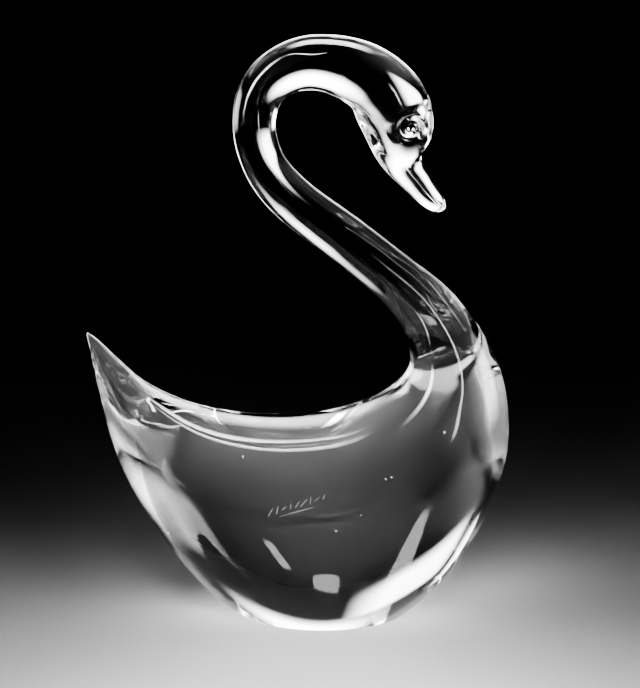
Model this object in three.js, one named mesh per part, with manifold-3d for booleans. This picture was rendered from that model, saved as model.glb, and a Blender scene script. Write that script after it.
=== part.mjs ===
// A swan of clear crystal glass, hot worked from one gather: a smooth body drawn out behind to a
// sharp raised tail, a flat polished foot, a long curved neck and a small head with a pulled beak.
// Millimetres, +Z up. The swan faces +X and is the same on both sides of the plane Y = 0.
// The origin is the middle of the flat foot, on the surface that the swan stands on.
import * as THREE from 'three';
import { mergeVertices } from 'three/addons/utils/BufferGeometryUtils.js';
import Module from 'manifold-3d';

// Each rib is one slice across the swan: its point on the back line (x, z), its point on the
// belly line (x, z), and half the width there. They run from the tip of the tail to the tip of
// the beak, and a smooth curve joins them. The steps are how many slices each rib adds up to the
// next one, more of them where the ribs stand further apart.
const TAIL = {
  steps: 3,
  ribs: [
    [-119.2, 148.8, -119.8, 148.2, 0.5],
    [-113.8, 144.8, -117.8, 137.5, 3.4],
    [-104.2, 135.2, -113.9, 117.0, 9.0],
    [-87.5, 120.2, -105.6, 84.0, 19.0],
  ],
};
const BODY = {
  steps: 6,
  ribs: [
    [-60.0, 108.4, -86.6, 46.5, 34.0],
    [-28.0, 103.8, -52.5, 5.5, 44.5],
    [3.0, 105.6, -2.0, -18.5, 48.5],
    [25.0, 112.8, 46.0, 0.0, 47.0],
    [38.8, 121.4, 79.0, 38.5, 42.0],
    [45.4, 131.2, 94.5, 77.5, 34.5],
    [45.4, 141.0, 96.6, 109.0, 27.5],
  ],
};
const NECK = {
  steps: 3,
  ribs: [
    [39.8, 154.4, 87.2, 141.0, 21.5],
    [28.5, 167.2, 67.2, 169.0, 17.0],
    [11.5, 181.4, 43.8, 188.4, 14.8],
    [-8.0, 196.6, 18.0, 208.4, 13.2],
    [-26.5, 212.8, -3.5, 223.6, 11.8],
    [-38.8, 231.0, -17.8, 238.0, 10.8],
    [-44.2, 251.5, -22.8, 253.0, 10.8],
    [-41.8, 272.2, -20.2, 265.4, 11.4],
    [-30.0, 288.6, -12.4, 271.0, 12.4],
    [-10.0, 298.4, -3.4, 272.2, 13.6],
  ],
};
const HEAD = {
  steps: 3,
  ribs: [
    [12.5, 298.6, 6.8, 268.8, 15.2],
    [32.6, 291.8, 14.8, 263.4, 16.8],
    [47.2, 279.4, 17.0, 258.4, 17.2],
    [55.2, 263.5, 21.0, 250.4, 16.4],
    [55.0, 247.8, 27.8, 237.4, 14.0],
    [50.0, 239.6, 34.6, 229.2, 11.2],
  ],
};
const BEAK = {
  steps: 2,
  ribs: [
    [53.6, 232.6, 41.8, 222.2, 9.6],
    [58.2, 224.6, 49.4, 214.9, 8.0],
    [62.0, 218.0, 56.0, 211.0, 5.6],
    [63.0, 213.2, 60.8, 210.8, 1.6],
  ],
};
const SWAN = [TAIL, BODY, NECK, HEAD, BEAK];
const RIBS = SWAN.flatMap((stretch) => stretch.ribs);

// How tightly the curve turns at each rib, and how many sides a slice has.
const TENSION = 0.5;
const SIDES = 40;
// The back was patted flat across the body, so its slices are squarer above their middle: the
// power says how square they are at the flattest rib, and they are round again at the end of the
// reach, towards the tail and the neck.
const BACK_POWER = 3.2;
const FLATTEST_RIB = 5.5;
const FLAT_REACH = 5;
// The block that takes off what hangs below the foot.
const CUT_SIZE = 400;

const GLASS = new THREE.MeshStandardMaterial({
  color: 0xf4f8fa,
  roughness: 0.03,
  metalness: 0,
  transparent: true,
  opacity: 0.35,
});

// A smooth curve through one end of every rib.
function ribCurve(xAt, zAt) {
  const points = RIBS.map((rib) => new THREE.Vector3(rib[xAt], 0, rib[zAt]));
  return new THREE.CatmullRomCurve3(points, false, 'catmullrom', TENSION);
}

// The same for half the width, with the ribs counted along X.
function widthCurve() {
  const points = RIBS.map((rib, i) => new THREE.Vector3(i, rib[4], 0));
  return new THREE.CatmullRomCurve3(points, false, 'catmullrom', TENSION);
}

// How far out the skin of a slice is, as a share of half its width, at a place counted in ribs from
// the tail and at an angle from the back.
function outAt(place, angle) {
  const round = Math.sin(angle);
  const up = Math.cos(angle);
  if (up <= 0) {
    return round;
  }
  const away = Math.min(Math.abs(place - FLATTEST_RIB) / FLAT_REACH, 1);
  const flat = 0.5 * (1 + Math.cos(Math.PI * away));
  const square = Math.sign(round) * Math.sqrt(Math.max(1 - up ** BACK_POWER, 0));
  return round + (square - round) * flat;
}

// The places of the slices, counted in ribs from the tail, as each stretch asks.
function slicePlaces() {
  const places = [];
  for (const stretch of SWAN) {
    stretch.ribs.forEach((rib) => {
      for (let step = 0; step < stretch.steps; step += 1) {
        places.push(RIBS.indexOf(rib) + step / stretch.steps);
      }
    });
  }
  const last = RIBS.length - 1;
  return [...places.filter((place) => place < last), last];
}

// The worked form before its foot is ground flat: rings of points along the ribs, closed at the
// tips of the tail and the beak.
function swanForm() {
  const back = ribCurve(0, 1);
  const belly = ribCurve(2, 3);
  const width = widthCurve();
  const places = slicePlaces();
  const rings = places.length - 1;
  const positions = [];
  const faces = [];
  for (const place of places) {
    const along = place / (RIBS.length - 1);
    const top = back.getPoint(along);
    const low = belly.getPoint(along);
    const middle = top.clone().add(low).multiplyScalar(0.5);
    const reach = top.clone().sub(low).multiplyScalar(0.5);
    const halfWidth = width.getPoint(along).y;
    for (let side = 0; side < SIDES; side += 1) {
      const angle = (2 * Math.PI * side) / SIDES;
      const up = Math.cos(angle);
      const out = halfWidth * outAt(place, angle);
      positions.push(middle.x + reach.x * up, out, middle.z + reach.z * up);
    }
  }
  for (let ring = 0; ring < rings; ring += 1) {
    for (let side = 0; side < SIDES; side += 1) {
      const next = (side + 1) % SIDES;
      const a = ring * SIDES + side;
      const b = ring * SIDES + next;
      faces.push(a, a + SIDES, b + SIDES, a, b + SIDES, b);
    }
  }
  const last = rings * SIDES;
  for (let side = 1; side < SIDES - 1; side += 1) {
    faces.push(0, side, side + 1);
    faces.push(last, last + side + 1, last + side);
  }
  const form = new THREE.BufferGeometry();
  form.setAttribute('position', new THREE.Float32BufferAttribute(positions, 3));
  form.setIndex(faces);
  return form;
}

const wasm = await Module();
wasm.setup();

// A closed geometry as a solid that can be cut.
function toSolid(geometry) {
  geometry.deleteAttribute('normal');
  geometry.deleteAttribute('uv');
  const merged = mergeVertices(geometry);
  return new wasm.Manifold(new wasm.Mesh({
    numProp: 3,
    vertProperties: new Float32Array(merged.attributes.position.array),
    triVerts: new Uint32Array(merged.index.array),
  }));
}

// A solid back as a geometry.
function toGeometry(solid) {
  const mesh = solid.getMesh();
  const geometry = new THREE.BufferGeometry();
  geometry.setAttribute('position', new THREE.BufferAttribute(mesh.vertProperties, 3));
  geometry.setIndex(new THREE.BufferAttribute(mesh.triVerts, 1));
  geometry.computeVertexNormals();
  return geometry;
}

// The foot is ground and polished flat, so all that hangs below Z = 0 comes off.
function groundSwan() {
  const below = new THREE.BoxGeometry(CUT_SIZE, CUT_SIZE, CUT_SIZE);
  below.translate(0, 0, -CUT_SIZE / 2);
  return toGeometry(toSolid(swanForm()).subtract(toSolid(below)));
}

const swan = new THREE.Mesh(groundSwan(), GLASS);
swan.name = 'swan';

const sculpture = new THREE.Group();
sculpture.add(swan);

export default sculpture;
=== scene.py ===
import math
import bmesh
import bpy
from mathutils import Matrix, Vector, noise
from mathutils.bvhtree import BVHTree


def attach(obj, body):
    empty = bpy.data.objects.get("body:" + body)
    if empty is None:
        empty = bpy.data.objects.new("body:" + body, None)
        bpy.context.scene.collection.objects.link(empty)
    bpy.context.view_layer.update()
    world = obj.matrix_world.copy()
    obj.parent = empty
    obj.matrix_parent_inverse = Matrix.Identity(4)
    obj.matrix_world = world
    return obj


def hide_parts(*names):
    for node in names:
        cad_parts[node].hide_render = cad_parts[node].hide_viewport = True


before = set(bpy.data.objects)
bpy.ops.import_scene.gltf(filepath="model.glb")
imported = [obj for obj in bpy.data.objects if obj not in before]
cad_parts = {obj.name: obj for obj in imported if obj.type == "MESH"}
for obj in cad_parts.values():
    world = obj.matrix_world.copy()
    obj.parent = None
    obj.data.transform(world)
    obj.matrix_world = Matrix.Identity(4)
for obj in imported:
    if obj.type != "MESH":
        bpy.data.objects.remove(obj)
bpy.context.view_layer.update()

# The view is a small studio table seen from the side, a little from above, with a long lens, so
# that the swan faces right and its foot shows its near rim.
CAMERA_LENS_MM = 102.35
CAMERA_SENSOR_MM = 36.0
CAMERA_DISTANCE = 1.0
CAMERA_ELEVATION = math.radians(13.0)
CAMERA_AIM = Vector((-0.0005, 0.0, 0.1426))
NEAREST_SEEN = 0.05
FARTHEST_SEEN = 30.0

camera_data = bpy.data.cameras.new("camera")
camera_data.lens = CAMERA_LENS_MM
camera_data.sensor_width = CAMERA_SENSOR_MM
camera_data.clip_start = NEAREST_SEEN
camera_data.clip_end = FARTHEST_SEEN
camera = bpy.data.objects.new("camera", camera_data)
bpy.context.collection.objects.link(camera)
back_off = Vector((0.0, -math.cos(CAMERA_ELEVATION), math.sin(CAMERA_ELEVATION)))
camera.location = CAMERA_AIM + back_off * CAMERA_DISTANCE
camera.rotation_euler = (math.pi / 2 - CAMERA_ELEVATION, 0.0, 0.0)
bpy.context.scene.camera = camera


# The swan is one gather of clear crystal glass, drawn and turned hot on a rod into a tail, a body,
# a neck and a head, and left fire polished. Each rib is a slice across it: its point on the back
# line (x, z), its point on the belly line (x, z) and half its width, in millimetres.
MM = 0.001
SWAN_RIBS = (
    (-119.2, 148.8, -119.8, 148.2, 0.5),
    (-113.8, 144.8, -117.8, 137.5, 3.4),
    (-104.2, 135.2, -113.9, 117.0, 9.0),
    (-87.5, 120.2, -105.6, 84.0, 19.0),
    (-60.0, 108.4, -86.6, 46.5, 34.0),
    (-28.0, 103.8, -52.5, 5.5, 44.5),
    (3.0, 105.6, -2.0, -18.5, 48.5),
    (25.0, 112.8, 46.0, 0.0, 47.0),
    (38.8, 121.4, 79.0, 38.5, 42.0),
    (45.4, 131.2, 94.5, 77.5, 34.5),
    (45.4, 141.0, 96.6, 109.0, 27.5),
    (39.8, 154.4, 87.2, 141.0, 21.5),
    (28.5, 167.2, 67.2, 169.0, 17.0),
    (11.5, 181.4, 43.8, 188.4, 14.8),
    (-8.0, 196.6, 18.0, 208.4, 13.2),
    (-26.5, 212.8, -3.5, 223.6, 11.8),
    (-38.8, 231.0, -17.8, 238.0, 10.8),
    (-44.2, 251.5, -22.8, 253.0, 10.8),
    (-41.8, 272.2, -20.2, 265.4, 11.4),
    (-30.0, 288.6, -12.4, 271.0, 12.4),
    (-10.0, 298.4, -3.4, 272.2, 13.6),
    (12.5, 298.6, 6.8, 268.8, 15.2),
    (32.6, 291.8, 14.8, 263.4, 16.8),
    (47.2, 279.4, 17.0, 258.4, 17.2),
    (55.2, 263.5, 21.0, 250.4, 16.4),
    (55.0, 247.8, 27.8, 237.4, 14.0),
    (50.0, 239.6, 34.6, 229.2, 11.2),
    (53.6, 232.6, 41.8, 222.2, 9.6),
    (58.2, 224.6, 49.4, 214.9, 8.0),
    (62.0, 218.0, 56.0, 211.0, 5.6),
    (63.0, 213.2, 60.8, 210.8, 1.6),
)
SLICES_PER_RIB = 3
SWAN_SIDES = 32
HALF_ROUND = SWAN_SIDES // 2
BACK_SIDE = 24
ROUNDING_LEVELS = 2

# The back was patted flat across the body: the power says how square a slice is above its middle.
BACK_POWER = 3.2
FLATTEST_RIB = 5.5
FLAT_REACH = 5

# The jaw was pressed with a flat paddle, which left a groove along each side of the head from the
# throat to the tip of the beak. Places are counted in ribs from the tail, angles from the back.
GROOVE_STEP = 10
GROOVE_PLACES = (16.0, 20.6, 24.2, 26.0)
GROOVE_ON_NECK = math.pi * GROOVE_STEP / HALF_ROUND
GROOVE_AT_THROAT = math.radians(168)
GROOVE_AT_CHEEK = math.radians(114)
GROOVE_ON_BEAK = math.radians(88)
GROOVE_DEEP = 0.0007
GROOVE_CREASE = 0.9
JAW_PLACES = (21.2, 22.6)
JAW_FLAT = 0.3
JAW_ROUND = 0.72
BEAK_END_PLACES = (29.0, 30.0)

# The hand that turned the gather left its skin a little uneven, and drawing the neck left it
# very faintly fluted. The thin tips stay as they are.
WAVER_SCALE = 0.030
WAVER_HIGH = 0.0005
FLUTES = 5
FLUTE_HIGH = 0.0001
FLUTE_TWIST = 0.35
THIN_TIPS = (0.003, 0.012)


def ease(value, low, high):
    """0 below the low end, 1 above the high end, and a smooth rise between them."""
    part = min(max((value - low) / (high - low), 0.0), 1.0)
    return part * part * (3 - 2 * part)


def rib_at(place):
    """The rib at a place counted in ribs from the tail, in metres, on a curve through them all."""
    here = min(int(place), len(SWAN_RIBS) - 2)
    t = place - here
    first, second = SWAN_RIBS[here], SWAN_RIBS[here + 1]
    before = SWAN_RIBS[here - 1] if here > 0 else [2 * a - b for a, b in zip(first, second)]
    goes_on = here + 2 < len(SWAN_RIBS)
    after = SWAN_RIBS[here + 2] if goes_on else [2 * b - a for a, b in zip(first, second)]
    rib = []
    for a, b, c, d in zip(before, first, second, after):
        leave, arrive = (c - a) / 2, (d - b) / 2
        rib.append(MM * (
            b + leave * t
            + (3 * (c - b) - 2 * leave - arrive) * t * t
            + (2 * (b - c) + leave + arrive) * t * t * t
        ))
    back_x, back_z, belly_x, belly_z, half_width = rib
    return Vector((back_x, 0.0, back_z)), Vector((belly_x, 0.0, belly_z)), half_width


def groove_angle(place):
    """Where the groove runs on a slice; on the neck it is only a row of points."""
    neck, throat, cheek, beak = GROOVE_PLACES
    angle = GROOVE_ON_NECK + (GROOVE_AT_THROAT - GROOVE_ON_NECK) * ease(place, neck, throat)
    angle += (GROOVE_AT_CHEEK - GROOVE_AT_THROAT) * ease(place, throat, cheek)
    return angle + (GROOVE_ON_BEAK - GROOVE_AT_CHEEK) * ease(place, cheek, beak)


def slice_point(place, step):
    """How far up and how far out a slice is at a step from the back (0) to the belly (16)."""
    groove = groove_angle(place)
    if step <= GROOVE_STEP:
        angle = groove * step / GROOVE_STEP
    else:
        angle = groove + (math.pi - groove) * (step - GROOVE_STEP) / (HALF_ROUND - GROOVE_STEP)
    up, out = math.cos(angle), math.sin(angle)
    if step > GROOVE_STEP:
        rise = (up + 1) / (math.cos(groove) + 1)
        pressed = math.sin(groove) * rise ** JAW_ROUND
        out += (pressed - out) * JAW_FLAT * ease(place, *JAW_PLACES)
    if 0 < up < 1:
        away = min(abs(place - FLATTEST_RIB) / FLAT_REACH, 1.0)
        flat = 0.5 * (1 + math.cos(math.pi * away))
        out += (math.sqrt(1 - up ** BACK_POWER) - out) * flat
    return up, out


def add_slice(bm, place, capped):
    """One slice of the swan as a ring of edges, and its points in order.

    Rounding draws a ring in, so it is made larger by just as much.
    """
    back, belly, half_width = rib_at(place)
    middle, reach = (back + belly) / 2, (back - belly) / 2
    swell = 3.0 / (2.0 + math.cos(2 * math.pi / SWAN_SIDES))
    ring = bmesh.ops.create_circle(bm, cap_ends=capped, radius=1.0, segments=SWAN_SIDES)
    for number, vert in enumerate(ring["verts"]):
        from_back = (number - BACK_SIDE) % SWAN_SIDES
        side = 1 if from_back <= HALF_ROUND else -1
        step = from_back if side > 0 else SWAN_SIDES - from_back
        up, out = slice_point(place, step)
        spot = middle + (reach * up + Vector((0.0, half_width * out * side, 0.0))) * swell
        outward = (spot - middle).normalized()
        turn = 2 * math.pi * from_back / SWAN_SIDES
        flute = math.sin(FLUTES * turn + FLUTE_TWIST * place) * FLUTE_HIGH
        waver = noise.noise(spot / WAVER_SCALE) * WAVER_HIGH
        groove = GROOVE_DEEP * ease(place, *JAW_PLACES) if step == GROOVE_STEP else 0.0
        vert.co = spot + outward * ((flute + waver) * ease(half_width, *THIN_TIPS) - groove)
    edges = list({edge for vert in ring["verts"] for edge in vert.link_edges})
    return edges, ring["verts"]


cage = bmesh.new()
crease = cage.edges.layers.float.new("crease_edge")
groove_sides = [(BACK_SIDE + turn * GROOVE_STEP) % SWAN_SIDES for turn in (1, -1)]
slices = SLICES_PER_RIB * (len(SWAN_RIBS) - 1)
last_edges, last_verts = add_slice(cage, 0.0, True)
for number in range(1, slices + 1):
    place = number / SLICES_PER_RIB
    edges, verts = add_slice(cage, place, number == slices)
    bmesh.ops.bridge_loops(cage, edges=last_edges + edges)
    sharp = ease(place, *JAW_PLACES) * (1 - ease(place, *BEAK_END_PLACES))
    for side in groove_sides:
        cage.edges.get((last_verts[side], verts[side]))[crease] = GROOVE_CREASE * sharp
    last_edges, last_verts = edges, verts
bmesh.ops.recalc_face_normals(cage, faces=cage.faces)
swan_mesh = bpy.data.meshes.new("swan_glass")
cage.to_mesh(swan_mesh)
cage.free()
swan = bpy.data.objects.new("swan_glass", swan_mesh)
bpy.context.collection.objects.link(swan)


def finished_mesh(piece):
    """The mesh of a piece with its modifiers applied, which are then taken off it."""
    graph = bpy.context.evaluated_depsgraph_get()
    mesh = bpy.data.meshes.new_from_object(piece.evaluated_get(graph))
    piece.modifiers.clear()
    return mesh


rounding = swan.modifiers.new("rounding", "SUBSURF")
rounding.levels = ROUNDING_LEVELS
rounding.render_levels = ROUNDING_LEVELS
glass = bmesh.new()
glass.from_mesh(finished_mesh(swan))

# The foot is ground flat and polished, with a narrow chamfer round it. The scar of the rod in its
# middle is ground out to a shallow polished dish.
FOOT_CHAMFER_HIGH = 0.0004
FOOT_CHAMFER_IN = 0.0011
DISH_RADIUS = 0.019
DISH_DEEP = 0.0013
DISH_MIDDLE = Vector((-0.001, 0.0, 0.0))
DISH_SIDES = 96
DISH_RINGS = 10
SAME_POINT = 1e-6


def grow(bm, edges):
    """Draws a new ring out of an open ring of edges, and gives its points and its edges."""
    grown = bmesh.ops.extrude_edge_only(bm, edges=edges)["geom"]
    verts = [item for item in grown if isinstance(item, bmesh.types.BMVert)]
    ring = [item for item in grown if isinstance(item, bmesh.types.BMEdge) and item.is_boundary]
    return verts, ring


cut = bmesh.ops.bisect_plane(
    glass, geom=glass.verts[:] + glass.edges[:] + glass.faces[:], dist=SAME_POINT,
    plane_co=(0.0, 0.0, FOOT_CHAMFER_HIGH), plane_no=(0.0, 0.0, 1.0), clear_inner=True,
)
chamfer_rim = [item for item in cut["geom_cut"] if isinstance(item, bmesh.types.BMEdge)]
foot_verts, foot_rim = grow(glass, chamfer_rim)
for vert in foot_verts:
    flat = Vector((vert.co.x, vert.co.y, 0.0))
    vert.co = flat * (1 - FOOT_CHAMFER_IN / flat.length)
dish = bmesh.ops.create_circle(
    glass, cap_ends=False, radius=DISH_RADIUS, segments=DISH_SIDES,
    matrix=Matrix.Translation(DISH_MIDDLE),
)
dish_rim = list({edge for vert in dish["verts"] for edge in vert.link_edges})
bmesh.ops.bridge_loops(glass, edges=foot_rim + dish_rim)
ball_radius = (DISH_RADIUS ** 2 + DISH_DEEP ** 2) / (2 * DISH_DEEP)
ring = dish_rim
for number in range(1, DISH_RINGS):
    radius = DISH_RADIUS * (1 - number / DISH_RINGS)
    high = math.sqrt(ball_radius ** 2 - radius ** 2) - (ball_radius - DISH_DEEP)
    verts, ring = grow(glass, ring)
    for vert in verts:
        arm = Vector((vert.co.x, vert.co.y, 0.0)) - DISH_MIDDLE
        vert.co = DISH_MIDDLE + arm.normalized() * radius + Vector((0.0, 0.0, high))
bmesh.ops.contextual_create(glass, geom=ring)
for face in glass.faces:
    face.smooth = True
for edge in chamfer_rim + foot_rim + dish_rim:
    edge.smooth = False
bmesh.ops.recalc_face_normals(glass, faces=glass.faces)

# The shears that cut the gather from the rod left a curled scar on both sides of the crown,
# and the fire has softened it.
SCAR_MIDDLE = Vector((0.0440, 0.0, 0.2540))
SCAR_WIDE = 0.0078
SCAR_TURNS = 1.3
SCAR_STEPS = 60
SCAR_TAPER = 0.8
SCAR_DEEP = 0.0009
SCAR_SPREAD = 0.0011
scar = []
for number in range(SCAR_STEPS):
    part = number / (SCAR_STEPS - 1)
    angle = 2 * math.pi * SCAR_TURNS * part
    arm = Vector((math.cos(angle), 0.0, math.sin(angle))) * SCAR_WIDE
    scar.append(SCAR_MIDDLE + arm * (1 - SCAR_TAPER * part))
glass.normal_update()
moves = []
for vert in glass.verts:
    spot = Vector((vert.co.x, 0.0, vert.co.z))
    if (spot - SCAR_MIDDLE).length < 2 * SCAR_WIDE:
        near = min((spot - curl).length for curl in scar)
        moves.append((vert, vert.normal * SCAR_DEEP * math.exp(-(near / SCAR_SPREAD) ** 2)))
for vert, move in moves:
    vert.co -= move
glass.to_mesh(swan_mesh)

# A row of shallow strokes with a line under it was cut into the near side with a small stone
# wheel. They aren't letters, and their ground faces are left grey.
STROKES = 9
STROKE_START = Vector((-0.0250, 0.0, 0.0675))
STROKE_STEP = Vector((0.0033, 0.0, 0.00095))
STROKE_LEAN = math.radians(62)
STROKE_SWAY = math.radians(24)
STROKE_TURN = 2.4
STROKE_HALF_LONG = 0.0021
STROKE_UNEVEN = 0.35
STROKE_HALF_WIDE = 0.0002
STROKE_DEEP = 0.00016
LINE_HALF_LONG = 0.0135
LINE_DROP = Vector((0.0, 0.0, 0.0034))
NEAR_SIDE = 0.2


def add_stroke(bm, skin, spot, lean, half_long):
    """One cut of the wheel: a slim lens lying across the skin at a spot."""
    toward = Vector((0.0, 1.0, 0.0))
    place, normal, _, _ = skin.ray_cast(spot - toward * NEAR_SIDE, toward)
    along = Vector((math.cos(lean), 0.0, math.sin(lean)))
    along = (along - normal * along.dot(normal)).normalized()
    across = normal.cross(along)
    turn = Matrix((along * half_long, across * STROKE_HALF_WIDE, normal * STROKE_DEEP)).transposed()
    bmesh.ops.create_icosphere(
        bm, subdivisions=2, radius=1.0, matrix=Matrix.Translation(place) @ turn.to_4x4(),
    )


skin = BVHTree.FromBMesh(glass)
glass.free()
cuts = bmesh.new()
for number in range(STROKES):
    lean = STROKE_LEAN + STROKE_SWAY * math.sin(STROKE_TURN * number)
    half_long = STROKE_HALF_LONG * (1 + STROKE_UNEVEN * math.cos(STROKE_TURN * number / 2))
    add_stroke(cuts, skin, STROKE_START + STROKE_STEP * number, lean, half_long)
under = STROKE_START + STROKE_STEP * (STROKES - 1) / 2 - LINE_DROP
add_stroke(cuts, skin, under, math.atan2(STROKE_STEP.z, STROKE_STEP.x), LINE_HALF_LONG)
cuts_mesh = bpy.data.meshes.new("wheel_cuts")
cuts.to_mesh(cuts_mesh)
cuts.free()
wheel_cuts = bpy.data.objects.new("wheel_cuts", cuts_mesh)
bpy.context.collection.objects.link(wheel_cuts)
clear_crystal = bpy.data.materials.new("clear_crystal")
ground_glass = bpy.data.materials.new("ground_glass")
swan_mesh.materials.append(clear_crystal)
cuts_mesh.materials.append(ground_glass)
wheel = swan.modifiers.new("wheel", "BOOLEAN")
wheel.operation = "DIFFERENCE"
wheel.solver = "EXACT"
wheel.material_mode = "TRANSFER"
wheel.object = wheel_cuts
glass = bmesh.new()
glass.from_mesh(finished_mesh(swan))
bpy.data.objects.remove(wheel_cuts)
swan_mesh.materials.append(ground_glass)
for edge in glass.edges:
    if len({face.material_index for face in edge.link_faces}) > 1:
        edge.smooth = False

# Air that the gather picked up shows as a few round seeds in the body (x, y, z and radius), and as
# hairs in the neck, where seeds were drawn out with the glass (first and last place, share of the
# way from back to belly, share of the way aside, and radius). All their sizes are in millimetres.
SEEDS = (
    (-7, -8, 96, 0.75), (-4, 6, 92, 0.55), (-5, 2, 87, 0.50), (-1, -3, 101, 0.45),
    (13, 9, 102, 0.40), (33, -6, 72, 0.50), (36, 4, 70, 0.42), (-40, 3, 74, 0.48),
    (62, -4, 96, 0.50), (-66, 2, 104, 0.36), (8, 12, 44, 0.45), (20, -14, 58, 0.36),
)
HAIRS = (
    (17.6, 14.9, 0.56, 0.10, 0.16),
    (13.9, 11.2, 0.66, -0.25, 0.14),
    (13.2, 10.9, 0.60, 0.30, 0.12),
    (12.4, 10.2, 0.34, -0.12, 0.12),
    (20.6, 19.4, 0.40, 0.20, 0.10),
)
HAIR_STEPS = 36
HAIR_SIDES = 8
HAIR_SWAY = 0.03
HAIR_TURN = 5.0
HAIR_TIP = 0.12


def add_hair(bm, start, end, share, aside, thick):
    """A hair of trapped air along the neck, thickest in its middle."""
    sideways = Vector((0.0, 1.0, 0.0))
    last = None
    for number in range(HAIR_STEPS + 1):
        part = number / HAIR_STEPS
        back, belly, half_width = rib_at(start + (end - start) * part)
        spot = back.lerp(belly, share + HAIR_SWAY * math.sin(HAIR_TURN * part))
        spot.y = half_width * aside
        across = (back - belly).normalized()
        turn = Matrix((across, sideways, across.cross(sideways))).transposed()
        ring = bmesh.ops.create_circle(
            bm, cap_ends=number in (0, HAIR_STEPS), segments=HAIR_SIDES,
            radius=thick * MM * (HAIR_TIP + math.sin(math.pi * part)),
            matrix=Matrix.Translation(spot) @ turn.to_4x4(),
        )
        edges = list({edge for vert in ring["verts"] for edge in vert.link_edges})
        if last:
            bmesh.ops.bridge_loops(bm, edges=last + edges)
        last = edges


air = bmesh.new()
for x, y, z, radius in SEEDS:
    bmesh.ops.create_icosphere(
        air, subdivisions=2, radius=radius * MM, matrix=Matrix.Translation(Vector((x, y, z)) * MM),
    )
for hair in HAIRS:
    add_hair(air, *hair)
bmesh.ops.recalc_face_normals(air, faces=air.faces)
bmesh.ops.reverse_faces(air, faces=air.faces)
for face in air.faces:
    face.smooth = True
air_mesh = bpy.data.meshes.new("air")
air.to_mesh(air_mesh)
air.free()
glass.from_mesh(air_mesh)
glass.to_mesh(swan_mesh)
glass.free()


def add_noise(tree, scale, detail):
    """A noise pattern that is fixed to the piece."""
    where = tree.nodes.new("ShaderNodeTexCoord")
    pattern = tree.nodes.new("ShaderNodeTexNoise")
    pattern.inputs["Scale"].default_value = scale
    pattern.inputs["Detail"].default_value = detail
    tree.links.new(where.outputs["Object"], pattern.inputs["Vector"])
    return pattern.outputs["Fac"]


def add_roughness(tree, pattern, from_range, to_range):
    """Turns a pattern into the roughness of the material."""
    spread = tree.nodes.new("ShaderNodeMapRange")
    spread.inputs["From Min"].default_value, spread.inputs["From Max"].default_value = from_range
    spread.inputs["To Min"].default_value, spread.inputs["To Max"].default_value = to_range
    tree.links.new(pattern, spread.inputs["Value"])
    roughness = tree.nodes["Principled BSDF"].inputs["Roughness"]
    tree.links.new(spread.outputs["Result"], roughness)


# Fire leaves the skin bright, with only a faint ripple and a few dull patches from handling.
CRYSTAL_IOR = 1.52
RIPPLE_SCALE = 55.0
RIPPLE_DETAIL = 1.0
RIPPLE_HIGH = 0.00003
TOUCH_SCALE = 26.0
TOUCH_DETAIL = 5.0
TOUCH_FROM = (0.55, 0.80)
TOUCH_DULL = (0.0, 0.05)
clear_crystal.use_nodes = True
crystal_tree = clear_crystal.node_tree
crystal = crystal_tree.nodes["Principled BSDF"]
crystal.inputs["Base Color"].default_value = (1.0, 1.0, 1.0, 1.0)
crystal.inputs["Transmission Weight"].default_value = 1.0
crystal.inputs["Metallic"].default_value = 0.0
crystal.inputs["IOR"].default_value = CRYSTAL_IOR
ripple = crystal_tree.nodes.new("ShaderNodeBump")
ripple.inputs["Strength"].default_value = 1.0
ripple.inputs["Distance"].default_value = RIPPLE_HIGH
ripple_noise = add_noise(crystal_tree, RIPPLE_SCALE, RIPPLE_DETAIL)
crystal_tree.links.new(ripple_noise, ripple.inputs["Height"])
crystal_tree.links.new(ripple.outputs["Normal"], crystal.inputs["Normal"])
touch_noise = add_noise(crystal_tree, TOUCH_SCALE, TOUCH_DETAIL)
add_roughness(crystal_tree, touch_noise, TOUCH_FROM, TOUCH_DULL)

# The wheel leaves its strokes matt, with a fine grit.
GROUND_COLOUR = (0.92, 0.93, 0.94, 1.0)
GROUND_CLEAR = 0.4
GRIT_SCALE = 2500.0
GRIT_DETAIL = 2.0
GRIT_FROM = (0.0, 1.0)
GRIT_ROUGH = (0.45, 0.75)
ground_glass.use_nodes = True
ground_tree = ground_glass.node_tree
ground = ground_tree.nodes["Principled BSDF"]
ground.inputs["Base Color"].default_value = GROUND_COLOUR
ground.inputs["Transmission Weight"].default_value = GROUND_CLEAR
ground.inputs["Metallic"].default_value = 0.0
ground.inputs["IOR"].default_value = CRYSTAL_IOR
add_roughness(ground_tree, add_noise(ground_tree, GRIT_SCALE, GRIT_DETAIL), GRIT_FROM, GRIT_ROUGH)

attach(swan, "root")
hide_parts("swan")


# The floor is a wide plain sheet of pale matt paper, lying flat.
FLOOR_RADIUS = 6.0
FLOOR_SIDES = 96
FLOOR_HIGH = -0.0002
FLOOR_COLOUR = (0.72, 0.72, 0.73, 1.0)
PAPER_SCALE = 900.0
PAPER_DETAIL = 2.0
PAPER_HIGH = 0.00004
floor_bm = bmesh.new()
bmesh.ops.create_circle(
    floor_bm, cap_ends=True, radius=FLOOR_RADIUS, segments=FLOOR_SIDES,
    matrix=Matrix.Translation((0.0, 0.0, FLOOR_HIGH)),
)
floor_mesh = bpy.data.meshes.new("floor")
floor_bm.to_mesh(floor_mesh)
floor_bm.free()
floor = bpy.data.objects.new("floor", floor_mesh)
bpy.context.collection.objects.link(floor)
paper = bpy.data.materials.new("pale_paper")
paper.use_nodes = True
paper_tree = paper.node_tree
paper_shader = paper_tree.nodes["Principled BSDF"]
paper_shader.inputs["Base Color"].default_value = FLOOR_COLOUR
paper_shader.inputs["Roughness"].default_value = 1.0
paper_shader.inputs["Specular IOR Level"].default_value = 0.0
tooth = paper_tree.nodes.new("ShaderNodeBump")
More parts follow.
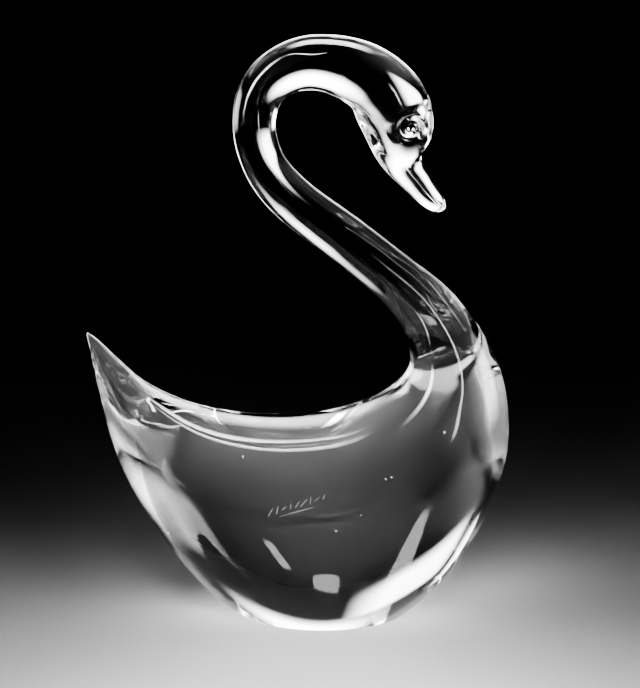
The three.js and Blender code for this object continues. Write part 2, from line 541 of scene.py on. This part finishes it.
tooth.inputs["Distance"].default_value = PAPER_HIGH
paper_noise = add_noise(paper_tree, PAPER_SCALE, PAPER_DETAIL)
paper_tree.links.new(paper_noise, tooth.inputs["Height"])
paper_tree.links.new(tooth.outputs["Normal"], paper_shader.inputs["Normal"])
floor_mesh.materials.append(paper)

# The studio is dark but for soft lights. Some fall on the paper in front of the swan and to its
# sides. The rest stand round it and light only the glass, so that its edges shine against the
# dark. Light goes back and forth in solid glass for long, so it is followed for many bounces.
# A row holds a light's name, place, size, power and the share of its face that fades, and for a
# floor light also the point that it faces.
DARK = (0.0, 0.0, 0.0, 1.0)
LIGHT_AIM = (0.0, 0.0, 0.15)
WIDE_SPREAD = 160.0
FLOOR_SPREAD = 48.0
GLASS_BOUNCES = 40
world = bpy.data.worlds.new("studio")
world.use_nodes = True
world.node_tree.nodes["Background"].inputs["Color"].default_value = DARK
bpy.context.scene.world = world
bpy.context.scene.view_settings.look = "AgX - Medium High Contrast"
bpy.context.scene.cycles.max_bounces = GLASS_BOUNCES
bpy.context.scene.cycles.glossy_bounces = GLASS_BOUNCES
bpy.context.scene.cycles.transmission_bounces = GLASS_BOUNCES


def add_softbox(name, place, size, power, feather, aim=LIGHT_AIM, spread=WIDE_SPREAD):
    """A soft light turned to face a point, whose face fades towards its edges."""
    data = bpy.data.lights.new(name, "AREA")
    data.shape = "RECTANGLE"
    data.size, data.size_y = size
    data.energy = power
    data.spread = math.radians(spread)
    data.use_nodes = True
    tree = data.node_tree
    face = tree.nodes.new("ShaderNodeNewGeometry")
    split = tree.nodes.new("ShaderNodeSeparateXYZ")
    both = tree.nodes.new("ShaderNodeMath")
    both.operation = "MULTIPLY"
    tree.links.new(face.outputs["Parametric"], split.inputs[0])
    for number, axis in enumerate(("X", "Y")):
        fold = tree.nodes.new("ShaderNodeMath")
        fold.operation = "PINGPONG"
        fold.inputs[1].default_value = 0.5
        fade = tree.nodes.new("ShaderNodeMapRange")
        fade.interpolation_type = "SMOOTHSTEP"
        fade.inputs["From Max"].default_value = feather
        tree.links.new(split.outputs[axis], fold.inputs[0])
        tree.links.new(fold.outputs[0], fade.inputs["Value"])
        tree.links.new(fade.outputs["Result"], both.inputs[number])
    tree.links.new(both.outputs[0], tree.nodes["Emission"].inputs["Strength"])
    lamp = bpy.data.objects.new(name, data)
    bpy.context.collection.objects.link(lamp)
    lamp.location = place
    lamp.rotation_euler = (Vector(aim) - Vector(place)).to_track_quat("-Z", "Y").to_euler()
    lamp.visible_camera = False
    return lamp


def around(heading, height, distance):
    """A place round the swan: its heading in degrees from straight behind, towards its front."""
    turn = math.radians(heading)
    return (distance * math.sin(turn), distance * math.cos(turn), height)


FLOOR_LIGHTS = (
    ("front_floor_light", (0.0, -0.66, 0.50), (0.30, 0.30), 4.2, 0.2, (0.0, -0.38, 0.0)),
    ("breast_floor_light", (0.58, -0.08, 0.50), (0.30, 0.30), 1.8, 0.2, (0.53, -0.02, 0.0)),
    ("tail_floor_light", (-0.55, -0.10, 0.50), (0.30, 0.30), 1.1, 0.2, (-0.48, -0.05, 0.0)),
)
for name, place, size, power, feather, aim in FLOOR_LIGHTS:
    add_softbox(name, place, size, power, feather, aim, FLOOR_SPREAD).visible_glossy = False
GLASS_LIGHTS = (
    ("back_light", around(5, 0.66, 0.9), (1.2, 0.76), 23.0, 0.4),
    ("beak_light", around(-22, 0.115, 0.5), (0.32, 0.17), 0.8, 0.3),
    ("breast_light", around(85, 0.25, 0.8), (0.6, 0.5), 14.0, 0.4),
    ("tail_light", around(-66, 0.28, 0.8), (0.7, 0.40), 8.0, 0.3),
    ("top_light", (0.0, 0.15, 1.0), (0.8, 0.4), 30.0, 0.3),
    ("front_tail_light", around(-122, 0.62, 0.9), (0.24, 1.2), 40.0, 0.4),
    ("front_breast_light", around(150, 0.45, 0.9), (0.10, 0.4), 2.0, 0.3),
)
for name, place, size, power, feather in GLASS_LIGHTS:
    add_softbox(name, place, size, power, feather).visible_diffuse = False
